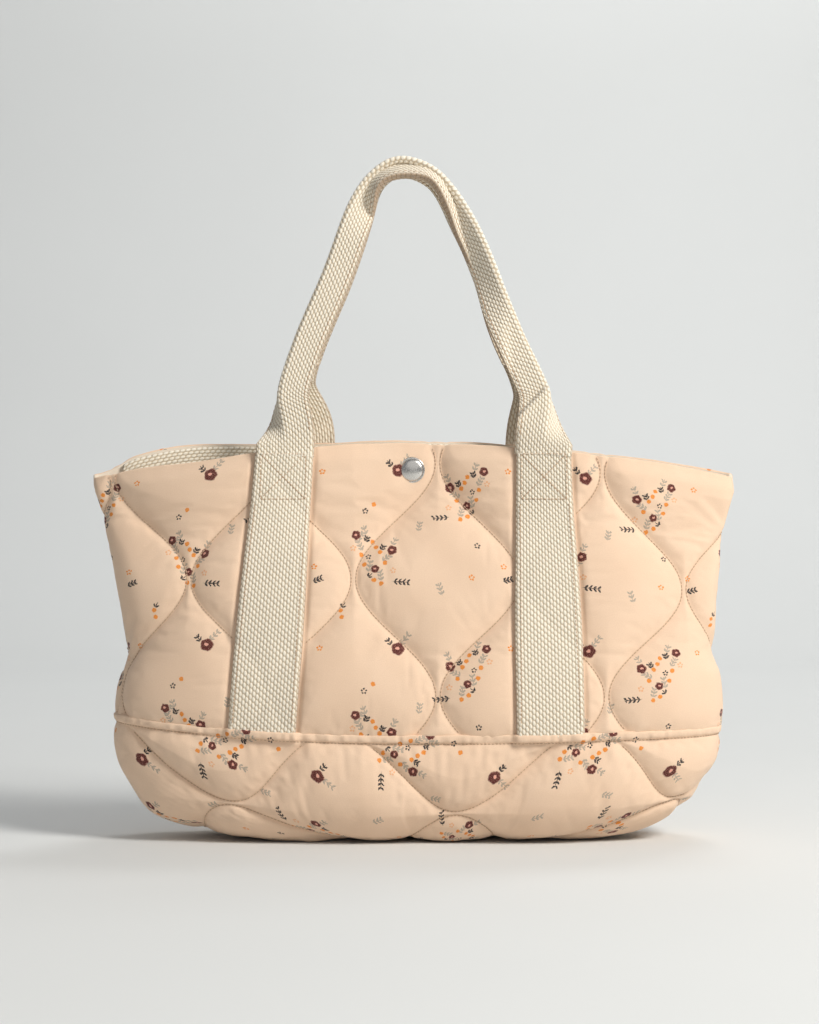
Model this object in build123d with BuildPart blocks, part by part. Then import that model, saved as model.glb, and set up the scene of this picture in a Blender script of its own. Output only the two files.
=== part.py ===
"""Quilted knitting bag with two webbing handles and a snap, modelled in millimetres.

The bag stands on its base at z = 0, centred on x and y, with the front wall towards -Y.
Each padded panel is three layers: printed face cloth, wadding and backing cloth. Front and back
walls meet at the side seams, and both meet the base panel at the base seam. The front wall leans
in to the snap, and opens by standing up straight over the base seam.
"""

import os
from math import atan2, cos, degrees, pi, sin

from build123d import *

# Body
seam_height = 64.0
seam_gap = 0.3
wall_top = 232.0
mouth_height = 225.0
mouth_corner_drop = 19.0
mouth_half_width = 183.0
pinch_half_depth = 8.0
lobe_half_depth = 20.0
corner_power = 3.0
end_power = 14

# Height, half width, half depth, and how far the outline is pinched shut at the snap
wall_levels = [
    (seam_height + seam_gap, 171.0, 46.0, 0.0),
    (86.0, 167.5, 46.0, 0.04),
    (110.0, 164.5, 44.5, 0.14),
    (160.0, 172.0, 38.0, 0.5),
    (184.0, 177.0, 34.0, 0.83),
    (204.0, 180.0, 30.0, 0.97),
    (218.0, 182.0, 28.0, 1.0),
    (wall_top, mouth_half_width, 26.0, 1.0),
]
base_levels = [
    (0.0, 130.0, 34.0, 0.0),
    (6.0, 143.0, 40.0, 0.0),
    (20.0, 157.0, 44.5, 0.0),
    (42.0, 167.0, 46.0, 0.0),
    (seam_height, 171.0, 46.0, 0.0),
]

# Layers of the quilted panels, as depths below the outer surface
cloth = 0.6
panel_thickness = 5.0
layer_gap = 0.06
layers = {
    "face": (0.0, cloth),
    "wadding": (cloth + layer_gap, panel_thickness - cloth - layer_gap),
    "backing": (panel_thickness - cloth, panel_thickness),
}

# Webbing
webbing_width = 38.0
webbing_thickness = 1.8
tape_width = 25.0
tape_thickness = 1.2
lay_gap = 0.1
strap_foot_x = 80.0
strap_top_x = 74.0
strap_top_width = 34.0
strap_top = 223.6
strap_foot = seam_height + seam_gap + 0.3

# Box stitch that holds each strap at the mouth
thread = 0.8
thread_rise = 0.5
box_width = 25.0
box_bottom = 194.0
box_height = 26.0

# Handles, in the plane that each one leans in
hinge_height = 224.0
hinge_half_depth = 22.3
grip_width = 20.0
grip_thickness = 3.6
grip_half_gap = 0.4
handle_top = 388.0
leg_fold_height = 26.0
leg_fold_x = 65.0
apex_half_width = 17.0
apex_radius = 24.0

# Snap
snap_height = 211.0
snap_radius = 7.5
snap_rise = 2.8
snap_rim = 1.1
snap_seat = 0.9
post_radius = 1.5
post_hole_radius = 1.7
disc_radius = 6.0
tape_face = pinch_half_depth - panel_thickness - lay_gap - tape_thickness
disc_back = tape_face - 0.1
socket_face = -0.2
socket_bore_radius = 2.9
socket_floor = 1.2
stud_flange_face = 0.6
stud_radius = 2.2
stud_reach = 0.9

outline_points = 16
dome_steps = 8
far = 400.0


def outline(half_width, half_depth, pinch, depth, front):
    """Points of half of a level's outline, moved in by depth, from the left seam to the right."""
    points = []
    for step in range(outline_points + 1):
        along = -cos(pi * step / outline_points)
        part = abs(along)
        rounded = (half_depth - depth) * max(0.0, 1 - part**corner_power) ** (1 / corner_power)
        lobes = lobe_half_depth - pinch_half_depth
        pinched = pinch_half_depth - depth + lobes * sin(pi * part) ** 2
        pinched *= max(0.0, 1 - part**end_power) ** 0.5
        reach = (1 - pinch) * rounded + pinch * pinched
        points.append((along * (half_width - depth), front * (reach + seam_gap / 2)))
    return points


def wall_sections(depth, front):
    """The half outlines of a wall, moved in by depth, on the -Y side if front is -1."""
    sections = []
    for height, half_width, half_depth, pinch in wall_levels:
        points = outline(half_width, half_depth, pinch, depth, front)
        with BuildSketch(Plane.XY.offset(height)) as section:
            with BuildLine():
                Spline(points)
                Line(points[-1], points[0])
            make_face()
        sections.append(section.sketch)
    return sections


def tray_sections(depth):
    """The whole outlines of the base panel, moved in by depth."""
    sections = []
    share = (seam_height - depth) / seam_height
    for height, half_width, half_depth, pinch in base_levels:
        front_half = outline(half_width, half_depth, pinch, depth, -1)
        back_half = outline(half_width, half_depth, pinch, depth, 1)[::-1]
        with BuildSketch(Plane.XY.offset(depth + height * share)) as section:
            with BuildLine():
                Spline(front_half)
                Line(front_half[-1], back_half[0])
                Spline(back_half)
                Line(back_half[-1], front_half[0])
            make_face()
        sections.append(section.sketch)
    return sections


def under_mouth_line(drop):
    """What lies under the curved mouth line lowered by drop, seen from the front."""
    middle = mouth_height - drop
    corner = middle - mouth_corner_drop
    left, right = (-mouth_half_width, corner), (mouth_half_width, corner)
    with BuildSketch(Plane.XZ) as area:
        with BuildLine():
            ThreePointArc(left, (0, middle), right)
            Polyline(right, (mouth_half_width, 0), (-mouth_half_width, 0), left)
        make_face()
    return area.sketch


def post_hole():
    """The hole that the snap's post goes through, seen from the front."""
    with BuildSketch(Plane.XZ) as hole:
        with Locations((0, snap_height)):
            Circle(post_hole_radius)
    return hole.sketch


def save(piece, name):
    """Labels a finished piece and writes it as one STEP file."""
    piece.part.label = name
    export_step(piece.part, f"parts/{name}.step")


def wall_layer(name, top_depth, bottom_depth, front):
    """One layer of the front or back wall."""
    with BuildPart() as layer:
        loft(wall_sections(top_depth, front))
        loft(wall_sections(bottom_depth, front), mode=Mode.SUBTRACT)
        extrude(under_mouth_line(0), amount=far, both=True, mode=Mode.INTERSECT)
        extrude(post_hole(), amount=far, both=True, mode=Mode.SUBTRACT)
    save(layer, name)


def base_layer(name, top_depth, bottom_depth):
    """One layer of the base panel, a shallow tray."""
    with BuildPart() as layer:
        loft(tray_sections(top_depth))
        loft(tray_sections(bottom_depth), mode=Mode.SUBTRACT)
    save(layer, name)


def mouth_tape(name, front):
    """The webbing that faces the inside of the mouth."""
    outer = panel_thickness + lay_gap
    with BuildPart() as tape:
        loft(wall_sections(outer, front))
        loft(wall_sections(outer + tape_thickness, front), mode=Mode.SUBTRACT)
        extrude(under_mouth_line(1), amount=far, both=True, mode=Mode.INTERSECT)
        extrude(under_mouth_line(tape_width), amount=far, both=True, mode=Mode.SUBTRACT)
        extrude(post_hole(), amount=far, both=True, mode=Mode.SUBTRACT)
    save(tape, name)


def strap(name, front, side):
    """The part of a handle's webbing that is sewn flat on the wall."""
    with BuildPart() as piece:
        loft(wall_sections(-lay_gap - webbing_thickness, front))
        loft(wall_sections(-lay_gap, front), mode=Mode.SUBTRACT)
        foot, top = side * strap_foot_x, side * strap_top_x
        with BuildSketch(Plane.XZ):
            with BuildLine():
                Polyline(
                    (foot - webbing_width / 2, strap_foot),
                    (foot + webbing_width / 2, strap_foot),
                    (top + strap_top_width / 2, strap_top),
                    (top - strap_top_width / 2, strap_top),
                    close=True,
                )
            make_face()
        extrude(amount=-front * far, mode=Mode.INTERSECT)
    save(piece, name)


def box_stitch(name, front, side):
    """Thread of the crossed box that holds a strap at the mouth."""
    inside = -lay_gap - webbing_thickness - lay_gap
    with BuildPart() as piece:
        loft(wall_sections(inside - thread_rise, front))
        loft(wall_sections(inside, front), mode=Mode.SUBTRACT)
        middle = (side * strap_top_x, box_bottom + box_height / 2)
        slope = degrees(atan2(box_height, box_width))
        diagonal = (box_width**2 + box_height**2) ** 0.5 - thread
        with BuildSketch(Plane.XZ):
            with Locations(middle):
                Rectangle(box_width, box_height)
                Rectangle(box_width - 2 * thread, box_height - 2 * thread, mode=Mode.SUBTRACT)
                Rectangle(diagonal, thread, rotation=slope)
                Rectangle(diagonal, thread, rotation=-slope)
        extrude(amount=-front * far, mode=Mode.INTERSECT)
    save(piece, name)


def handle(name, front):
    """A handle's free loop: flat webbing at each foot, folded in half lengthwise in the grip."""
    hinge = hinge_half_depth - webbing_thickness / 2
    top_half_depth = grip_half_gap + grip_thickness / 2
    lean = atan2(hinge - top_half_depth, handle_top - hinge_height)
    leaning = Plane(
        origin=(0, front * hinge, hinge_height),
        x_dir=(1, 0, 0),
        z_dir=(0, -cos(lean), -front * sin(lean)),
    )
    apex = (handle_top - hinge_height) / cos(lean) - grip_width / 2
    corners = [
        (-leg_fold_x, leg_fold_height),
        (-apex_half_width, apex),
        (apex_half_width, apex),
        (leg_fold_x, leg_fold_height),
    ]
    with BuildPart() as loop:
        with BuildLine(leaning) as route:
            path = FilletPolyline(*corners, radius=apex_radius)
        with BuildSketch(Plane(origin=path @ 0, x_dir=leaning.z_dir, z_dir=path % 0)):
            Rectangle(grip_thickness, grip_width)
        sweep(path=path)
        for side, at in ((-1, 0), (1, 1)):
            foot = leaning.from_local_coords((side * strap_top_x, 0, 0))
            with BuildSketch(Plane(origin=foot, x_dir=leaning.z_dir, z_dir=leaning.y_dir)):
                Rectangle(webbing_thickness, strap_top_width)
            with BuildSketch(Plane(origin=path @ at, x_dir=leaning.z_dir, z_dir=path % at * -side)):
                Rectangle(grip_thickness, grip_width)
            loft()
    print(name, "lean", round(degrees(lean), 2), "volume", round(loop.part.volume))
    save(loop, name)


def snap_piece(name, profile, front):
    """Turns a half profile about the snap's axis; profile points are (radius, depth outwards)."""
    with BuildPart() as piece:
        with BuildSketch(Plane.XY.offset(snap_height)):
            with BuildLine():
                Polyline(profile(front), close=True)
            make_face()
        revolve(axis=Axis((0, 0, snap_height), (0, 1, 0)))
    save(piece, name)


def cap_profile(front):
    """A shallow dome with a flat rim, and the post that goes through the wall."""
    seat = pinch_half_depth + seam_gap / 2 + snap_seat
    dome = []
    for step in range(dome_steps + 1):
        turn = pi / 2 * step / dome_steps
        rise = snap_rim + (snap_rise - snap_rim) * cos(turn)
        dome.append((snap_radius * sin(turn), front * (seat + rise)))
    return dome + [
        (snap_radius, front * seat),
        (post_radius, front * seat),
        (post_radius, front * disc_back),
        (0, front * disc_back),
    ]


def socket_profile(front):
    """A disc with a blind hole for the stud, facing inwards."""
    return [
        (0, front * disc_back),
        (disc_radius, front * disc_back),
        (disc_radius, front * socket_face),
        (socket_bore_radius, front * socket_face),
        (socket_bore_radius, front * socket_floor),
        (0, front * socket_floor),
    ]


def stud_profile(front):
    """A flange with the stud that enters the socket."""
    return [
        (0, front * disc_back),
        (disc_radius, front * disc_back),
        (disc_radius, front * stud_flange_face),
        (stud_radius, front * stud_flange_face),
        (stud_radius, -front * stud_reach),
        (0, -front * stud_reach),
    ]


os.makedirs("parts", exist_ok=True)

for layer_name, (top_depth, bottom_depth) in layers.items():
    base_layer(f"base_panel_{layer_name}", top_depth, bottom_depth)
    for wall_name, front in (("front", -1), ("back", 1)):
        wall_layer(f"{wall_name}_panel_{layer_name}", top_depth, bottom_depth, front)

for wall_name, front in (("front", -1), ("back", 1)):
    mouth_tape(f"{wall_name}_mouth_tape", front)
    handle(f"{wall_name}_handle_loop", front)
    for side_name, side in (("left", -1), ("right", 1)):
        strap(f"{wall_name}_strap_{side_name}", front, side)
        box_stitch(f"{wall_name}_box_stitch_{side_name}", front, side)
    snap_piece(f"snap_{wall_name}_cap", cap_profile, front)

snap_piece("snap_socket", socket_profile, -1)
snap_piece("snap_stud", stud_profile, 1)
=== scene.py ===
"""Looks for the quilted knitting bag. Lengths are in millimetres until a mesh is made."""

import math
from itertools import chain

import bmesh
import bpy
import numpy as np
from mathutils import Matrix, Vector
from mathutils.kdtree import KDTree


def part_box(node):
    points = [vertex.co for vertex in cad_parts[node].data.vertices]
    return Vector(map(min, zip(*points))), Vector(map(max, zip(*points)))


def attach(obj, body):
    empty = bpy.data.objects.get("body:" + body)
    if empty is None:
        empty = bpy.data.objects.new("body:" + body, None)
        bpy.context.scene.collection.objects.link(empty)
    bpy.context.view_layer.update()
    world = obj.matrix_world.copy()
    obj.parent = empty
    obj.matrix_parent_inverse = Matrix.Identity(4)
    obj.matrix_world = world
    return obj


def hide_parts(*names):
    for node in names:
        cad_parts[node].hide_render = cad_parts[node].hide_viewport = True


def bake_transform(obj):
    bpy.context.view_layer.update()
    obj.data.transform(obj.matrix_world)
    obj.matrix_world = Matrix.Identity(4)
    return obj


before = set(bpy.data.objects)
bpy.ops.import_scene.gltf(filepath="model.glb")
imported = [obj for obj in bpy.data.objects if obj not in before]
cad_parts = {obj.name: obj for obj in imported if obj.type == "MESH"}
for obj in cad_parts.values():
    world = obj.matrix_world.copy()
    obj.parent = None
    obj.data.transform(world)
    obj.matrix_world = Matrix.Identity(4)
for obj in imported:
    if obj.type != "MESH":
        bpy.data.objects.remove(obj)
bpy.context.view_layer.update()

MM = 0.001
FRONT, BACK = -1, 1
SIDES = (("left", -1), ("right", 1))

# Heights from the CAD's boxes
MOUTH_Z, HANDLE_TOP, SEAM_Z = (
    (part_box(name)[1] / MM).z for name in ("front_panel_face", "front_handle_loop", "base_panel_face"))

# The body
THICKNESS = 5.0
MOUTH_HALF_WIDTH, CORNER_DROP = 183.0, 19.0
PINCH_HALF_DEPTH, LOBE_HALF_DEPTH = 8.0, 20.0
LEFT_PULL = 4.0  # how far the quilting's columns are drawn down on the left
# Rise, place and reach of a swell of the back's mouth line, and of a dip in the front's
BACK_MOUTH_RISE, BACK_SWELL, FRONT_DIP = 2, (7.3, -138, 52), (-2.0, -125, 30)

# Height, half width on the left and right, half depth and, for the walls, the mouth's pinch
WALL_LEVELS = np.array([
    (54, 169, 176, 46, 0.0),
    (68, 170.5, 178, 46, 0.0),
    (92, 167, 176.5, 45.5, 0.06),
    (109, 162, 173, 44.5, 0.14),
    (135, 164.5, 173.5, 42, 0.30),
    (160, 170, 176.5, 38, 0.5),
    (184, 178.5, 182, 34, 0.83),
    (206, 185.5, 185.5, 30, 0.97),
    (232, 188, 187.5, 26, 1.0),
])
BASE_LEVELS = np.array([
    (0, 104, 112, 30),
    (3.5, 121, 129, 36),
    (10, 136, 143, 41),
    (19, 148, 154, 44),
    (31, 157, 164, 45.6),
    (47, 166, 173, 46),
    (60, 169.5, 176.5, 46),
    (72, 170.5, 178, 46),
])
FLAT_REACH = 24.0  # height over which the base flattens towards the floor

# The base seam: the walls lap under it, and the base's edge is turned over it as a lip
SEAM_HALF_WIDTH, SEAM_SAG, SEAM_LEFT_LIFT, SEAM_RIGHT_LIFT = 168, 6.5, 10, 3
LAP, TUCK = 10.0, 2.4
LIP, LIP_LOW, LIP_RISE, LIP_PUCKER = 4.8, -0.8, 1.6, 0.42
LIP_OVER_STRAP, BASE_OVER_STRAP = 2.9, 1.9

# Quilting: ogee lines, in columns on the walls and in rows on the base
OGEE_PITCH, OGEE_PINCH_GAP = 47.5, 2.6
OGEE_SWING = (OGEE_PITCH - OGEE_PINCH_GAP) / 2
WALL_FIRST_COLUMN, WALL_PINCH_START, WALL_PERIOD = -32.8, 149.7, 131.0
BASE_FIRST_ROW, BASE_PINCH_START, BASE_PERIOD = 40.5, -117.0, 138.0
VALLEY, PUFF = -2.0, 5.3
PILLOW_SHARE, PILLOW_REACH = 0.74, 4.2
CROWN_SHARE, CROWN_REACH = 0.40, 30
PUCKER_AWAY, PUCKER_REACH = 4, 5
# Rise, and size across and along the cloth
SMALL_PUCKERS, LARGE_PUCKERS = (0.34, 4.2, 4.2), (0.4, 9, 9)
SLACK, LUMPS = (1.3, 34, 30), (0.16, 13, 13)

# Cloth simulation, in which a millimetre measures CLOTH_UNIT
CLOTH_UNIT, CLOTH_FRAMES, CLOTH_STEPS = 0.01, 14, 4
CLOTH_MASS, CLOTH_STIFFNESS, CLOTH_BENDING = 0.3, 12, 0.35
CLOTH_PRESSURE, CLOTH_EASE = 3.0, 0.05
CLOTH_USUAL, CLOTH_LIMIT = 90, 1.3  # the percentile that counts as full, and the most above it
CLOTH_PUFF, WALL_CLOTH_SHARE, BASE_CLOTH_SHARE = 6.0, 0.38, 0.2
HELD_REACH, PULLED_REACH = 1.2, 1.6

# Webbing
WEBBING_WIDTH, WEBBING_THICKNESS = 38.4, 1.7
WARP_PITCH, WEFT_PITCH, WEAVE_RISE, YARN_SLANT = 1.9, 3.2, 0.5, 0.22
STRAPS = {  # foot's middle, mouth's middle, and width at the mouth
    (FRONT, -1): (-84.0, -72.4, 33.0),
    (FRONT, 1): (77.5, 75.0, 31.0),
    (BACK, -1): (-78.0, -63.0, 33.0),
    (BACK, 1): (82.0, 70.5, 33.0),
}
STRAP_TOP, STRAP_LIFT = 221.0, 0.35
TAPE_TOP, TAPE_WIDTH, TAPE_REACH, TAPE_LIFT = 0.6, 25.0, 168, -0.9

# Thread
STITCH_PITCH, STITCH_SHARE, THREAD_RADIUS, THREAD_LIFT = 2.1, 0.82, 0.30, 0.25
LINE_STEP = 0.8
BOX_Z, BOX_WIDTH, BOX_HEIGHT = 207.0, 25.0, 26.0
STRAP_THREAD_RADIUS, STRAP_STITCH_EDGE = 0.24, 2.6
HANDLE_THREAD_RADIUS, HANDLE_STITCH_PITCH, HANDLE_STITCH_ENDS = 0.26, 3.0, 12
BASE_STITCH_DOWN = 0.4

# Handles: the crease's route, seen from the front
HANDLE_ROUTE = [
    (-72.2, 219), (-71.8, 230), (-73.4, 241), (-76.2, 252), (-74.6, 262), (-71.6, 272), (-66.6, 287),
    (-60.2, 302.6), (-51.4, 323), (-46.6, 336), (-37.5, 361), (-25, 380), (-7, 391), (10, 386),
    (25, 371), (36.3, 353.5), (43.8, 337), (52.4, 315), (61.8, 293), (73.6, 267), (78.4, 254),
    (77.0, 242), (75.2, 230), (74.5, 219),
]
BACK_FEET_SHARE, BACK_FEET_SHIFT = 0.90, 3.5
HINGE_Z, HINGE_HALF_DEPTH, GRIP_HALF_DEPTH = 224.0, 21.4, 3.6
STRAP_TOP_HALF, GRIP_HALF = 16.4, 16.8
FOLD_START, FOLD_LENGTH, CREASE_REACH = 7.0, 56.0, 1.9
# The fold's twist in degrees, and how far past the handle's top it grows, eases off and ends
APEX_TWIST, TWIST_RISE, TWIST_EASE, TWIST_END = -60.0, (-62, -12), (22, 60), (85, 130)
DOG_EAR, DOG_EAR_SLOPE = (71.0, 253.0), 46.0

SNAP_Z, SNAP_RISE = 211.0, 2.8


# ---------------------------------------------------------------- numbers

def smoothstep(low, high, value):
    share = np.clip((value - low) / (high - low), 0, 1)
    return share * share * (3 - 2 * share)


def curve_through(knots, values):
    """A smooth curve through the knots that doesn't overshoot them."""
    knots, values = np.asarray(knots, float), np.asarray(values, float)
    step = np.diff(knots)
    slope = np.diff(values) / step
    tangent = np.zeros(len(knots))
    tangent[0], tangent[-1] = slope[0], slope[-1]
    same = slope[1:] * slope[:-1] > 0
    both = slope[1:] + slope[:-1]
    middle = 2 * slope[1:] * slope[:-1] / np.where(both == 0, 1, both)
    tangent[1:-1] = np.where(same, middle, 0)

    def at(x):
        x = np.clip(x, knots[0], knots[-1])
        k = np.clip(np.searchsorted(knots, x) - 1, 0, len(step) - 1)
        s = (x - knots[k]) / step[k]
        rise = values[k] * (1 + 2 * s) * (1 - s) ** 2 + values[k + 1] * s * s * (3 - 2 * s)
        lean = tangent[k] * s * (1 - s) ** 2 - tangent[k + 1] * s * s * (1 - s)
        return rise + lean * step[k]

    return at


def between(corners, across, up):
    """A value between four corners: low left, low right, high left and high right."""
    low, high = (left * (1 - across) + right * across for left, right in (corners[:2], corners[2:]))
    return low * (1 - up) + high * up


def noise(x, y, seed):
    """Smooth noise from -1 to 1, with one bump a unit, the same on every run."""
    table = np.random.default_rng(seed).uniform(-1, 1, (64, 64))
    column, row = np.floor(x).astype(int), np.floor(y).astype(int)
    across, up = (part**2 * (3 - 2 * part) for part in (x - column, y - row))
    return between([table[(column + a) % 64, (row + b) % 64] for b in (0, 1) for a in (0, 1)], across, up)


def length_along(*coordinates):
    """Distance along a line of points in a plane."""
    return np.concatenate([[0], np.cumsum(np.hypot(*map(np.diff, coordinates)))])


def unit(vectors):
    return vectors / np.maximum(np.linalg.norm(vectors, axis=-1, keepdims=True), 1e-9)


def grid_normals(grid):
    """Normals of a grid of points, from its neighbours along both ways."""
    return unit(np.cross(np.gradient(grid, axis=1), np.gradient(grid, axis=0)))


# ---------------------------------------------------------------- meshes

def make_mesh(name, points, faces, slots, cloth=None, face_slot=None, weld=False):
    """A smooth piece from points in millimetres, with cloth coordinates for each face corner."""
    sizes = np.array([len(face) for face in faces])
    corners = np.concatenate(faces) if isinstance(faces, list) else faces.ravel()
    mesh = bpy.data.meshes.new(name)
    mesh.vertices.add(len(points))
    mesh.vertices.foreach_set("co", (np.asarray(points) * MM).astype(np.float32).ravel())
    mesh.loops.add(len(corners))
    mesh.loops.foreach_set("vertex_index", corners.astype(np.int32))
    mesh.polygons.add(len(sizes))
    starts = np.concatenate([[0], np.cumsum(sizes)[:-1]])
    mesh.polygons.foreach_set("loop_start", starts.astype(np.int32))
    if cloth is not None:
        layer = mesh.uv_layers.new(name="fabric")
        layer.data.foreach_set("uv", (cloth * MM).astype(np.float32).ravel())
    for slot in slots:
        mesh.materials.append(MATERIALS[slot])
    if face_slot is not None:
        mesh.polygons.foreach_set("material_index", np.asarray(face_slot, np.int32))
    mesh.polygons.foreach_set("use_smooth", np.ones(len(sizes), bool))
    mesh.update(calc_edges=True)
    tidy = bmesh.new()
    tidy.from_mesh(mesh)
    if weld:
        bmesh.ops.remove_doubles(tidy, verts=tidy.verts, dist=1e-6)
    bmesh.ops.recalc_face_normals(tidy, faces=tidy.faces)
    tidy.to_mesh(mesh)
    tidy.free()
    return placed(name, mesh)


def placed(name, data):
    """A new object in the scene."""
    thing = bpy.data.objects.new(name, data)
    bpy.context.scene.collection.objects.link(thing)
    return thing


def grid_faces(rows, columns, wrap_rows=False, wrap_columns=False):
    """Quads of a grid of points, row by row."""
    row = np.arange(rows if wrap_rows else rows - 1)
    column = np.arange(columns if wrap_columns else columns - 1)
    row, column = np.meshgrid(row, column, indexing="ij")
    next_row, next_column = (row + 1) % rows, (column + 1) % columns
    corners = [row * columns + column, row * columns + next_column,
               next_row * columns + next_column, next_row * columns + column]
    return np.stack(corners, -1).reshape(-1, 4)


def end_ladder(rows, columns, column):
    """Quads that close one end of a grid whose rows go round a thin section."""
    row = np.arange(rows // 2 - 1)
    corners = [row, row + 1, rows - 2 - row, rows - 1 - row]
    quads = np.stack(corners, -1) * columns + column
    return quads if column else quads[:, ::-1]


# ---------------------------------------------------------------- quilting

def ogee_line(index, turn, first):
    """A waved line's place across the cloth. Lines with even and odd numbers swing opposite ways."""
    side = np.where(index % 2 == 0, -1, 1)
    return first + (index + 0.5) * OGEE_PITCH + side * OGEE_SWING * np.cos(turn)


def ogee_distance(across, along, first, start, period):
    """Distance to the nearest of the waved lines that pinch together by turns."""
    turn = 2 * math.pi * (along - start) / period
    lean = np.sqrt(1 + (OGEE_SWING * 2 * math.pi / period * np.sin(turn)) ** 2)
    gap = np.floor((across - first) / OGEE_PITCH)
    nearest = np.full(np.shape(across), np.inf)
    for step in (-1, 0, 1):
        line = ogee_line(gap + step, turn, first)
        nearest = np.minimum(nearest, np.abs(across - line) / lean)
    return nearest


def quilted_height(distance, border, across, along, seed):
    """How far the padding stands up between stitch lines, with puckers beside them."""
    d = np.minimum(distance, border)
    pillow = 1 - np.exp(-d / PILLOW_REACH)
    crown = smoothstep(0, CROWN_REACH, d)
    height = VALLEY + PUFF * (PILLOW_SHARE * pillow + CROWN_SHARE * crown)

    def bumps(rise, wide, high, seed):
        return rise * noise(across / wide, along / high, seed)

    near = np.exp(-((d - PUCKER_AWAY) / PUCKER_REACH) ** 2)
    height = height + near * (bumps(*SMALL_PUCKERS, seed) + bumps(*LARGE_PUCKERS, seed + 3))
    height = height + crown * bumps(*SLACK, seed + 1)
    return height + bumps(*LUMPS, seed + 2)


def seam_line(x):
    """Height of the base seam's stitching."""
    left, right = (np.clip(side * x, 0, None) / SEAM_HALF_WIDTH for side in (-1, 1))
    return SEAM_Z - SEAM_SAG + SEAM_LEFT_LIFT * left ** 2 + SEAM_RIGHT_LIFT * right ** 2


def strap_middle(front, side, height):
    foot, top, _ = STRAPS[front, side]
    return foot + (top - foot) * (height - SEAM_Z) / (MOUTH_Z - SEAM_Z)


def strap_half_width(front, side, height):
    top_width = STRAPS[front, side][2]
    share = smoothstep(SEAM_Z + 40, MOUTH_Z, height)
    return (WEBBING_WIDTH + (top_width - WEBBING_WIDTH) * share) / 2


def off_strap(front, side, x, height):
    """Distance across from a strap's edge, below 0 on the strap."""
    return np.abs(x - strap_middle(front, side, height)) - strap_half_width(front, side, height)


def inflate(grid, normal, held, step, wrap=False):
    """How far cloth held at its stitches stands up when the padding pushes it, found by simulation."""
    rows, columns = np.arange(0, grid.shape[0], step), np.arange(0, grid.shape[1], step)
    some = np.ix_(rows, columns)
    coarse = grid[some]
    faces = grid_faces(len(rows), len(columns), wrap_columns=wrap)
    mesh = bpy.data.meshes.new("inflating")
    mesh.from_pydata((coarse * CLOTH_UNIT).reshape(-1, 3).tolist(), [], faces.tolist())
    facing = np.zeros(len(faces) * 3)
    mesh.polygons.foreach_get("normal", facing)
    if (facing.reshape(-1, 3) * normal[some].reshape(-1, 3)[faces[:, 0]]).sum() < 0:
        mesh.flip_normals()
    cloth = placed("inflating", mesh)
    stitches = cloth.vertex_groups.new(name="stitches")
    stitches.add(np.flatnonzero(held[some].ravel()).tolist(), 1.0, "REPLACE")
    modifier = cloth.modifiers.new("cloth", "CLOTH")
    modifier.collision_settings.use_collision = False
    settings = modifier.settings
    settings.quality, settings.mass, settings.vertex_group_mass = CLOTH_STEPS, CLOTH_MASS, "stitches"
    settings.tension_stiffness = settings.compression_stiffness = CLOTH_STIFFNESS
    settings.bending_stiffness = CLOTH_BENDING
    settings.shrink_min = settings.shrink_max = -CLOTH_EASE
    settings.use_pressure, settings.uniform_pressure_force = True, CLOTH_PRESSURE
    settings.effector_weights.gravity = 0
    scene = bpy.context.scene
    for number in range(1, CLOTH_FRAMES + 1):
        scene.frame_set(number)
    done = cloth.evaluated_get(bpy.context.evaluated_depsgraph_get()).to_mesh()
    points = np.zeros(coarse.size, np.float32)
    done.vertices.foreach_get("co", points)
    scene.frame_set(1)
    bpy.data.objects.remove(cloth)
    stands = ((points.reshape(coarse.shape) / CLOTH_UNIT - coarse) * normal[some]).sum(-1)
    full = np.array([np.interp(np.arange(grid.shape[1]), columns, row) for row in stands])
    full = np.array([np.interp(np.arange(grid.shape[0]), rows, column) for column in full.T]).T
    return np.clip(full / np.percentile(full, CLOTH_USUAL), 0, CLOTH_LIMIT)


def settled(share, rise, stitches, grid, normal, held, step, wrap=False):
    """The padding's rise with the folds that the simulated cloth takes between its stitches."""
    near = 1 - np.exp(-stitches / PULLED_REACH)
    folds = VALLEY + CLOTH_PUFF * inflate(grid, normal, held, step, wrap) * near
    return rise * (1 - share) + folds * share


# ---------------------------------------------------------------- surfaces

class Lookup:
    """Finds the place on a grid where two values that vary smoothly over it are met."""

    def __init__(self, first, second):
        self.shape = first.shape
        self.values = np.stack([first, second], -1)
        self.by_row = np.gradient(self.values, axis=0).reshape(-1, 2)
        self.by_column = np.gradient(self.values, axis=1).reshape(-1, 2)
        self.values = self.values.reshape(-1, 2)
        self.tree = KDTree(len(self.values))
        for index, (a, b) in enumerate(self.values):
            self.tree.insert((a, b, 0), index)
        self.tree.balance()

    def find(self, first, second):
        first, second = np.broadcast_arrays(np.asarray(first, float), np.asarray(second, float))
        wanted = np.stack([first.ravel(), second.ravel()], -1)
        nearest = np.array([self.tree.find((a, b, 0))[1] for a, b in wanted])
        off = wanted - self.values[nearest]
        row_step, column_step = self.by_row[nearest], self.by_column[nearest]
        area = row_step[:, 0] * column_step[:, 1] - row_step[:, 1] * column_step[:, 0]
        area = np.where(np.abs(area) < 1e-9, 1e-9, area)
        down = (off[:, 0] * column_step[:, 1] - off[:, 1] * column_step[:, 0]) / area
        on = (row_step[:, 0] * off[:, 1] - row_step[:, 1] * off[:, 0]) / area
        row, column = np.divmod(nearest, self.shape[1])
        row = np.clip(row + np.clip(down, -1, 1), 0, self.shape[0] - 1)
        column = np.clip(column + np.clip(on, -1, 1), 0, self.shape[1] - 1)
        return row.reshape(first.shape), column.reshape(first.shape)


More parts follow.
